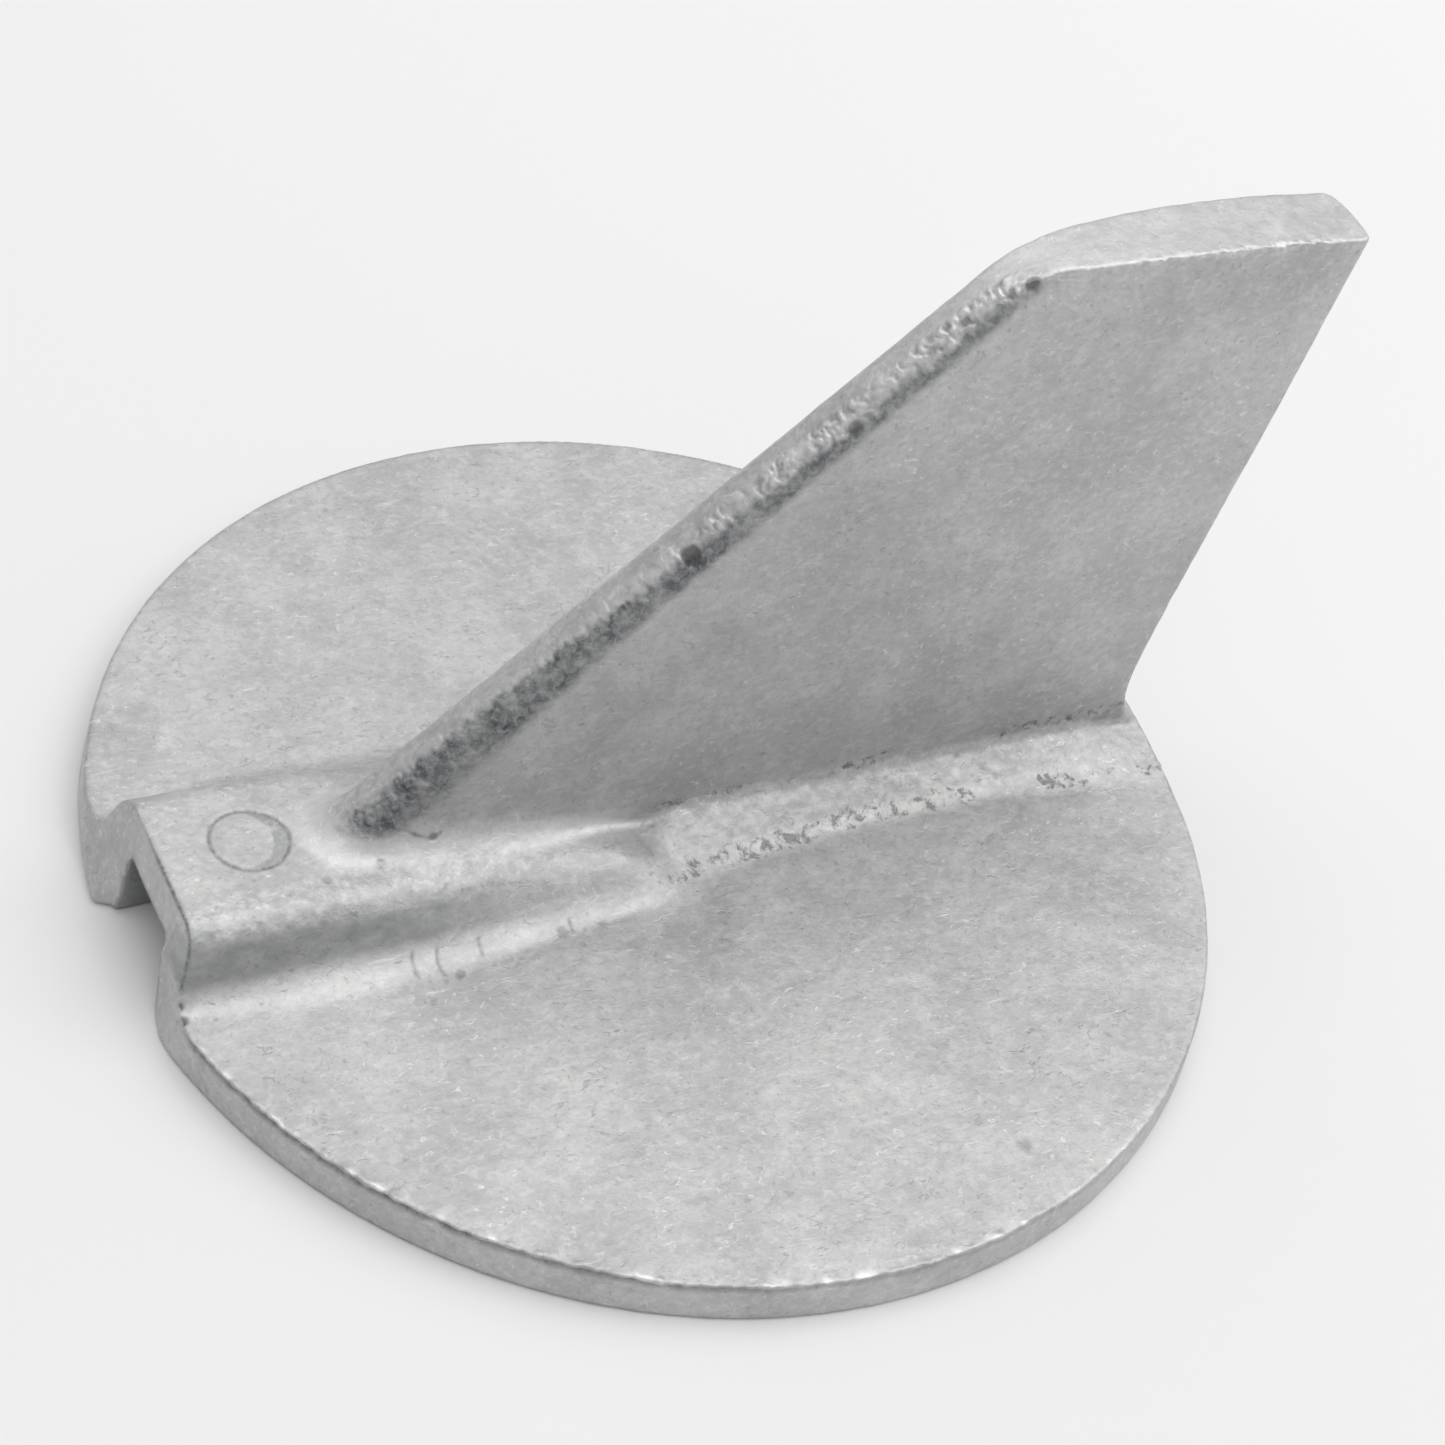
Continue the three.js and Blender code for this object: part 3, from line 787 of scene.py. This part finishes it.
class Nodes:
    """Builds a material's node tree."""

    def __init__(self, name):
        """Starts a material with an empty node tree."""
        self.material = bpy.data.materials.new(name)
        self.material.use_nodes = True
        self.tree = self.material.node_tree
        self.tree.nodes.clear()

    def add(self, kind, settings=None, **inputs):
        """Adds a node. Its inputs are given by name, or as i0, i1 and so on by place."""
        node = self.tree.nodes.new(kind)
        for key, value in (settings or {}).items():
            setattr(node, key, value)
        for key, value in inputs.items():
            socket = node.inputs[int(key[1:])] if key[0] == "i" and key[1:].isdigit() else None
            socket = socket or node.inputs[key.replace("_", " ")]
            if isinstance(value, bpy.types.NodeSocket):
                self.tree.links.new(value, socket)
            else:
                socket.default_value = value
        return node

    def math(self, operation, a, b=0.0, clamp=False):
        """One sum of two numbers or sockets."""
        settings = {"operation": operation, "use_clamp": clamp}
        return self.add("ShaderNodeMath", settings, i0=a, i1=b).outputs[0]

    def noise(self, where, scale, detail=3.0, roughness=0.5, distortion=0.0):
        """Cloudy noise from 0 to 1 around 0.5. Scale counts features per metre."""
        return self.add(
            "ShaderNodeTexNoise",
            Vector=where, Scale=scale, Detail=detail, Roughness=roughness, Distortion=distortion,
        ).outputs["Fac"]

    def stretch(self, value, low, high, to_low=0.0, to_high=1.0):
        """A smooth change from to_low to to_high as the value goes from low to high."""
        node = self.add("ShaderNodeMapRange", {"interpolation_type": "SMOOTHSTEP"}, i0=value)
        for i, number in enumerate((low, high, to_low, to_high)):
            node.inputs[i + 1].default_value = number
        return node.outputs[0]

    def mix(self, factor, a, b):
        """Colour a where the factor is 0 and colour b where it is 1."""
        node = self.add("ShaderNodeMix", {"data_type": "RGBA"})
        for i, value in ((0, factor), (6, a), (7, b)):
            if isinstance(value, bpy.types.NodeSocket):
                self.tree.links.new(value, node.inputs[i])
            else:
                node.inputs[i].default_value = value
        return node.outputs[2]

    def painted(self, name):
        """The number that was painted on each point under this name."""
        return self.add("ShaderNodeAttribute", {"attribute_name": name}).outputs["Fac"]


def grey(value, warm=0.0):
    """A grey, shifted a little towards red, or towards blue where warm is negative."""
    return (value * (1 + warm), value, value * (1 - warm), 1.0)


def shifted(n, where, amount):
    """The same place seen from elsewhere, so that two layers of noise don't match."""
    node = n.add("ShaderNodeVectorMath", {"operation": "ADD"}, i0=where)
    node.inputs[1].default_value = (amount, 0.7 * amount, -0.4 * amount)
    return node.outputs[0]


def drawn_out(n, where):
    """The same place, with marks drawn out along the fin, the way the metal ran."""
    node = n.add("ShaderNodeVectorMath", {"operation": "MULTIPLY"}, i0=where)
    node.inputs[1].default_value = (0.78, 1.0, 1.08)
    return node.outputs[0]


def curls(n, where, scale, thickness, share):
    """Short thin curling marks: broken pieces of a noise's contour lines."""
    bent = n.noise(where, scale, 2.0, 0.5, 0.5)
    line = n.math("ABSOLUTE", n.math("SUBTRACT", bent, 0.5))
    line = n.stretch(line, 0.0, thickness, 1.0, 0.0)
    pieces = n.noise(shifted(n, where, 0.3), scale * 1.7, 2.0, 0.5)
    return n.math("MULTIPLY", line, n.stretch(pieces, share, share + 0.05))


def scratches(n, where, angle, share):
    """Sparse long thin scratches along one direction."""
    turned = n.add("ShaderNodeMapping", Vector=where)
    turned.inputs["Rotation"].default_value = angle
    turned.inputs["Scale"].default_value = (0.12, 1.0, 1.0)
    return n.stretch(n.noise(turned.outputs[0], 2400, 1.0, 0.5, 0.3), share, share + 0.08)


def tinted(n, tone, mask, strength, colour):
    """The tone, taken some way towards a colour where the mask is 1."""
    return n.mix(n.math("MULTIPLY", mask, strength), tone, colour)


def cast_metal():
    """Bare cast metal: mottled, finely pitted, with curling flow marks and tumbling scratches."""
    n = Nodes("cast_anode_metal")
    where = n.add("ShaderNodeTexCoord").outputs["Object"]
    # Of the painted numbers, dark holds dark marks with painted shade, and light holds painted
    # highlights.
    dark, light, coarse = n.painted("dark"), n.painted("light"), n.painted("coarse")

    flow = drawn_out(n, where)
    clouds = n.noise(where, 120, 3.0, 0.5)
    mottle = n.noise(flow, 420, 4.0, 0.66, 0.5)
    spots = n.noise(shifted(n, flow, 1.0), 1500, 3.0, 0.62, 0.5)
    grain = n.noise(where, 3000, 2.0, 0.6)
    pores = n.stretch(n.noise(shifted(n, where, 5.0), 1900, 2.0, 0.6, 0.6), 0.64, 0.70)
    lumps = n.noise(where, 1200, 3.0, 0.65)
    grit = n.stretch(n.noise(where, 1800, 4.0, 0.65, 0.5), 0.36, 0.66)
    blots = n.noise(shifted(n, where, 4.0), 1050, 4.0, 0.72, 0.4)

    patches = n.noise(shifted(n, where, 6.0), 75, 2.0, 0.5)
    pale = curls(n, flow, 800, 0.045, 0.59)
    pale = n.math("MULTIPLY", pale, n.stretch(patches, 0.42, 0.62, 0.25, 1.0))
    dusky = curls(n, shifted(n, flow, 2.0), 600, 0.04, 0.58)
    dusky = n.math("MULTIPLY", dusky, n.stretch(patches, 0.60, 0.38, 0.25, 1.0))
    worn = n.math("MAXIMUM", scratches(n, where, (0.3, 0.2, 0.5), 0.72),
                  scratches(n, shifted(n, where, 3.0), (0.9, 0.5, 2.4), 0.72))
    specks = n.math("SUBTRACT", blots, n.stretch(n.painted("specks"), 0.0, 1.0, 0.82, 0.50))
    specks = n.stretch(specks, -0.03, 0.13)

    tone = n.mix(n.stretch(clouds, 0.3, 0.7), (0.470, 0.465, 0.474, 1), (0.558, 0.564, 0.555, 1))
    tone = tinted(n, tone, n.stretch(mottle, 0.50, 0.72), 0.38, grey(0.70, 0.008))
    tone = tinted(n, tone, n.stretch(mottle, 0.50, 0.30), 0.32, grey(0.40, -0.008))
    tone = tinted(n, tone, n.stretch(spots, 0.50, 0.70), 0.34, grey(0.72, 0.004))
    tone = tinted(n, tone, n.stretch(spots, 0.50, 0.30), 0.34, grey(0.36))
    tone = tinted(n, tone, n.stretch(grain, 0.50, 0.72), 0.22, grey(0.36))
    high_lumps = n.math("MULTIPLY", n.stretch(lumps, 0.48, 0.66), coarse)
    low_lumps = n.math("MULTIPLY", n.stretch(lumps, 0.50, 0.34), coarse)
    tone = tinted(n, tone, high_lumps, 0.42, grey(0.82, 0.015))
    tone = tinted(n, tone, low_lumps, 0.32, grey(0.32, 0.01))
    tone = tinted(n, tone, pores, 0.30, grey(0.20))
    tone = tinted(n, tone, dusky, 0.38, grey(0.26))
    tone = tinted(n, tone, pale, 0.40, grey(0.92))
    tone = tinted(n, tone, worn, 0.20, grey(0.88))
    # Painted shade, darkening the spine's near wall and shoulder, its front end and the inside of
    # the channel.
    tone = tinted(n, tone, n.painted("painted_shade"), 1.0, grey(0.20, -0.03))
    # Painted highlights on fillets, edges, scales and the fin's top.
    tone = tinted(n, tone, light, 1.0, grey(0.88))
    # Dark marks, and painted shade in grooves, between scales, along edges and on the leading
    # edge's stripe.
    dark_mark_and_shade_tone = n.mix(grit, grey(0.085, -0.05), grey(0.30, -0.03))
    tone = tinted(n, tone, dark, 0.95, dark_mark_and_shade_tone)
    tone = tinted(n, tone, n.painted("pits"), 0.95, grey(0.085, -0.05))
    tone = tinted(n, tone, specks, 0.75, grey(0.15))

    rough = n.stretch(mottle, 0.3, 0.7, 0.46, 0.58)
    rough = n.math("SUBTRACT", rough, n.math("MULTIPLY", light, 0.10))
    rough = n.math("ADD", rough, n.math("MULTIPLY", dark, 0.10), clamp=True)

    relief = n.math("MULTIPLY", mottle, 0.8)
    fine_relief = ((spots, 0.5), (grain, 0.18), (pale, 0.25), (worn, 0.12))
    for layer, height in (*fine_relief, (dusky, -0.35), (specks, -0.6)):
        relief = n.math("ADD", relief, n.math("MULTIPLY", layer, height))
    relief = n.math("ADD", relief, n.math("MULTIPLY", n.math("MULTIPLY", lumps, coarse), 1.8))
    relief = n.math("ADD", relief, n.math("MULTIPLY", n.math("MULTIPLY", grit, dark), 0.5))
    bump = n.add("ShaderNodeBump", Strength=0.5, Distance=0.00012, Height=relief)

    shader = n.add("ShaderNodeBsdfPrincipled", Metallic=0.65, Base_Color=tone, Roughness=rough)
    n.tree.links.new(bump.outputs[0], shader.inputs["Normal"])
    n.add("ShaderNodeOutputMaterial", Surface=shader.outputs[0])
    return n.material


def turned_steel():
    """Plated steel with the fine rings that turning leaves."""
    n = Nodes("turned_steel")
    where = n.add("ShaderNodeTexCoord").outputs["Object"]
    rings = n.add("ShaderNodeTexWave", {"wave_type": "RINGS", "rings_direction": "Z"})
    n.tree.links.new(where, rings.inputs["Vector"])
    rings.inputs["Scale"].default_value = 900
    rings.inputs["Distortion"].default_value = 1.5
    blotch = n.noise(where, 500, 4.0, 0.6)
    tone = n.mix(n.stretch(blotch, 0.35, 0.7), grey(0.46), grey(0.60, 0.02))
    rough = n.stretch(blotch, 0.3, 0.7, 0.28, 0.45)
    relief = n.math("ADD", n.math("MULTIPLY", rings.outputs["Fac"], 0.4), blotch)
    bump = n.add("ShaderNodeBump", Strength=0.3, Distance=0.00004, Height=relief)
    shader = n.add("ShaderNodeBsdfPrincipled", Metallic=1.0, Base_Color=tone, Roughness=rough)
    n.tree.links.new(bump.outputs[0], shader.inputs["Normal"])
    n.add("ShaderNodeOutputMaterial", Surface=shader.outputs[0])
    return n.material


def studio_floor():
    """A plain pale matt floor."""
    n = Nodes("studio_floor")
    where = n.add("ShaderNodeTexCoord").outputs["Object"]
    tone = n.mix(n.stretch(n.noise(where, 6, 2.0), 0.3, 0.7), grey(0.80), grey(0.81))
    shader = n.add("ShaderNodeBsdfPrincipled", Base_Color=tone, Roughness=0.9)
    n.add("ShaderNodeOutputMaterial", Surface=shader.outputs[0])
    return n.material


# ---------------------------------------------------------------- the pieces


def make_casting():
    """The casting: fitted, refined where the marks are fine, roughened and painted."""
    low = [LOW[0], -HIGH[1], 0.0]
    verts, faces = fitted_mesh(casting_field, low, HIGH, MESH_STEP, slab=(13.0, 5.5))
    piece = mesh_object("casting", verts, faces)
    refine(piece, finely_marked(*verts.T))
    ideal = settle(casting_field, vertices_of(piece), 0.12)
    normals = unit(gradient(casting_field, ideal, 0.05))
    verts = ideal + normals * roughened(ideal)[:, None]
    move_vertices(piece, np.clip(verts, LOW + 0.001, HIGH - 0.001))
    mark_casting(piece, ideal)
    piece.data.materials.append(cast_metal())
    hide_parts("anode_casting")
    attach(piece, "root")


def finely_marked(x, y, z):
    """Where the marks are finer than the mesh's own step."""
    ring = np.abs(np.hypot(x - RING_CENTRE[0], y - RING_CENTRE[1]) - RING_RADIUS) < 0.6
    stripe = on_nose(x, y, z) * (y < 0.6)
    flash = rim_flash(x, y, z) * (np.abs(z - 3.2) < 1.0)
    foot = (np.abs(y + 11.2) < 2.2) * (np.abs(x + 18) < 11)
    corner = (x < -44) * (np.abs(y + 11) < 2) * (z > 2)
    sides = np.sort([blade_field(x, y, z), tail_field(x, y, z), tip_field(x, y, z)], axis=0)
    fin_edges = (sides[1] > -0.45) * (z > DISC_THICKNESS + 4)
    crack_area = (np.abs(x + 25.7) < 3) * (np.abs(y + 2.8) < 1.2) * (np.abs(z - 10) < 1.8)
    marked = [ring * (z > 7), stripe, flash, foot, corner, fin_edges, crack_area]
    return np.maximum.reduce(marked + [front_edge(x, y, z)]) > 0.15


def mark_casting(piece, verts):
    """Paints where the casting is dark, pitted, coarse or speckled, and where painted shade and
    painted highlights go.
    """
    x, y, z = verts.T
    h = z - DISC_THICKNESS
    pits = np.zeros(len(verts))
    for mark in CASTING_MARKS:
        pits = np.maximum(pits, -mark_depth(mark, verts) / mark[2] * mark[3])
    paint(piece, "pits", pits)
    fade = 1 - 0.25 * ramp(h, 12, 50)
    # The leading edge's stripe is rough and dark of its own, and darkened further as painted shade
    # on its near, downward-facing half.
    stripe = rough_shaded_stripe(x, y, z) * (0.85 + 0.35 * cloudy(x, y, z, 1.3, 24, 2)) * fade
    # Painted shade in the gaps between the leading edge's raised scales.
    scale_gap_shade = 0.60 * scaly(x, y, z) * ramp(-scale_pattern(x, y, z), 0.1, 0.6)
    # Painted shade in the ejector ring's groove and along the spine's front edge; the ripples and
    # the crack are dark marks.
    lines = np.maximum(0.75 * ring_shade(x, y, z), 0.85 * front_edge(x, y, z))
    lines = np.maximum(lines, np.maximum(0.5 * ripples(x, y, z), crack(verts)))
    # The rim's groove is darkened here with painted shade.
    paint(piece, "dark", np.maximum.reduce([stripe, scale_gap_shade, 0.9 * rim_groove(x, y, z), lines]))

    # Painted shade on the spine's near wall and near shoulder, its front end and inside the
    # channel.
    wall = near_wall(x, y, z) * (0.45 + 0.15 * cloudy(x, y, z * 2, 1.6, 23))
    hollow = (channel_field(x, y, z) < 0.1) * ramp(x, FRONT_X, FRONT_X + 1) * 0.55
    front = 0.15 * (front_field(x, y, z) > -0.3) * ramp(z, 2, 5)
    uneven = 1 + 0.4 * cloudy(x, y, z, 1.8, 25)
    shoulder = 0.32 * near_shoulder(x, y, z) * ramp(-y, 5.8, 7.2) * uneven
    paint(piece, "painted_shade", np.maximum.reduce([wall, hollow, front, shoulder]))

    # Painted highlights along the rim's flash, on the raised scales, in the hollow at the spine's
    # foot, on the fillet round the fin's foot and on the fin's top.
    lip = rim_flash(x, y, z) * ramp(h, -0.15, 0.0) * ramp(noise(x, y, z, 0.9, 21), 0.1, 0.7)
    scales = scaly(x, y, z) * ramp(scale_pattern(x, y, z), -0.1, 0.7) * (1 - 0.8 * rough_shaded_stripe(x, y, z))
    foot_highlight = (0.02 + 0.12 * ramp(x, -40, -20)) * spine_foot(x, y, z)
    fillet_highlights = np.maximum(foot_highlight, 0.30 * nose_halo(x, y, z))
    top = 0.18 * ramp(tip_field(x, y, z), -0.6, -0.1) * ramp(h, 44, 48)
    paint(piece, "light", np.maximum.reduce([0.8 * lip, 0.45 * scales, fillet_highlights, top]))

    band = on_root(x, y, z)
    nose = 0.4 * on_nose(x, y, z) * (1 - rough_shaded_stripe(x, y, z))
    rough = [0.4 * band, 0.6 * near_shoulder(x, y, z), 0.9 * tip_edge(x, y, z), nose]
    paint(piece, "coarse", np.maximum.reduce(rough))
    off_foot = np.abs(y) - root_foot(x)
    foot_edge = np.exp(-((off_foot / 0.8) ** 2)) + 0.3 * np.exp(-((off_foot / 3.5) ** 2))
    foot_edge = foot_edge * (np.abs(h) < 1.2)
    top_edge = np.exp(-(((h - 3.6) / 0.9) ** 2)) * (np.abs(y) < 5)
    clusters = ramp(cloudy(x, y, z, 3.5, 22), -0.5, 0.4) * ramp(-y, 0, 1)
    paint(piece, "specks", ramp(x, -8, -4) * (foot_edge + top_edge) * clusters + 0.15 * band)


def make_insert():
    """The threaded insert, which stands for the CAD's plain one."""
    reach = FLANGE_CORNER_RADIUS
    low, high = (-reach, -reach, 0.0), (reach, reach, INSERT_HEIGHT)
    verts, faces = fitted_mesh(threaded_field, low, high, THREAD_STEP)
    piece = mesh_object("threaded_insert_steel", verts, faces)
    piece.data.materials.append(turned_steel())
    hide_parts("threaded_insert")
    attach(piece, "root")


FLOOR_SIZE = 8.0  # half its width, in metres
FLOOR_GAP = 0.0001


def make_floor():
    """A wide flat floor just under the mounting face."""
    work = bmesh.new()
    bmesh.ops.create_grid(work, x_segments=8, y_segments=8, size=FLOOR_SIZE)
    mesh = bpy.data.meshes.new("studio_floor")
    work.to_mesh(mesh)
    work.free()
    floor = bpy.data.objects.new("studio_floor", mesh)
    floor.location.z = cad_low.z - FLOOR_GAP
    floor.data.materials.append(studio_floor())
    bpy.context.scene.collection.objects.link(floor)


# ---------------------------------------------------------------- camera and light

CAMERA_LENS = 64.78
CAMERA_SENSOR = 36.0
CAMERA_TURN = 39.23  # degrees round the object from straight ahead of it
CAMERA_ELEVATION = 42.34
CAMERA_ROLL = 17.35
CAMERA_DISTANCE = 218.06  # from the disc's centre, along the view
CAMERA_SLIDE = (4.67, 6.6)  # the view's axis passes this far beside and above the disc's centre


def make_camera():
    """The camera, which looks from the photo's angle and is rolled about its own view."""
    turn, up, roll = (math.radians(v) for v in (CAMERA_TURN, CAMERA_ELEVATION, CAMERA_ROLL))
    forward = Vector((0, math.cos(up), -math.sin(up)))
    right = Vector((1, 0, 0))
    above = right.cross(forward)
    rolled_right = right * math.cos(roll) + above * math.sin(roll)
    rolled_up = above * math.cos(roll) - right * math.sin(roll)
    place = -forward * CAMERA_DISTANCE + rolled_right * CAMERA_SLIDE[0]
    place = place + rolled_up * CAMERA_SLIDE[1]
    axes = Matrix((rolled_right, rolled_up, -forward)).transposed()
    spin = Matrix.Rotation(-turn, 3, "Z")
    data = bpy.data.cameras.new("camera")
    data.lens = CAMERA_LENS
    data.sensor_width = CAMERA_SENSOR
    data.clip_start = 0.01
    camera = bpy.data.objects.new("camera", data)
    camera.matrix_world = (spin @ axes).to_4x4()
    camera.location = (spin @ place + Vector((0, 0, DISC_THICKNESS))) * MM
    bpy.context.scene.collection.objects.link(camera)
    bpy.context.scene.camera = camera


WORLD_STRENGTH = 0.54
# Softboxes: name, place in metres, width in metres and brightness.
SOFTBOXES = [
    ("overhead", (0.0, 0.0, 0.9), 1.0, 1.05),
    ("far_side", (0.1, 0.6, 0.7), 0.8, 0.44),
    ("rear", (0.6, -0.1, 0.7), 0.8, 1.4),
]


def softbox(name, place, size, strength):
    """A square area light that faces the object and has the given brightness."""
    data = bpy.data.lights.new(name, "AREA")
    data.size = size
    data.energy = strength * math.pi * size * size
    lamp = bpy.data.objects.new(name, data)
    lamp.location = place
    lamp.rotation_euler = (-Vector(place)).to_track_quat("-Z", "Y").to_euler()
    bpy.context.scene.collection.objects.link(lamp)


def make_light():
    """A bright even room with three large softboxes, as for a product picture."""
    world = bpy.data.worlds.new("studio")
    world.use_nodes = True
    background = world.node_tree.nodes["Background"]
    background.inputs["Color"].default_value = (1, 1, 1, 1)
    background.inputs["Strength"].default_value = WORLD_STRENGTH
    bpy.context.scene.world = world
    for box in SOFTBOXES:
        softbox(*box)
    bpy.context.scene.view_settings.view_transform = "Standard"


make_camera()
make_light()
make_floor()
make_casting()
make_insert()
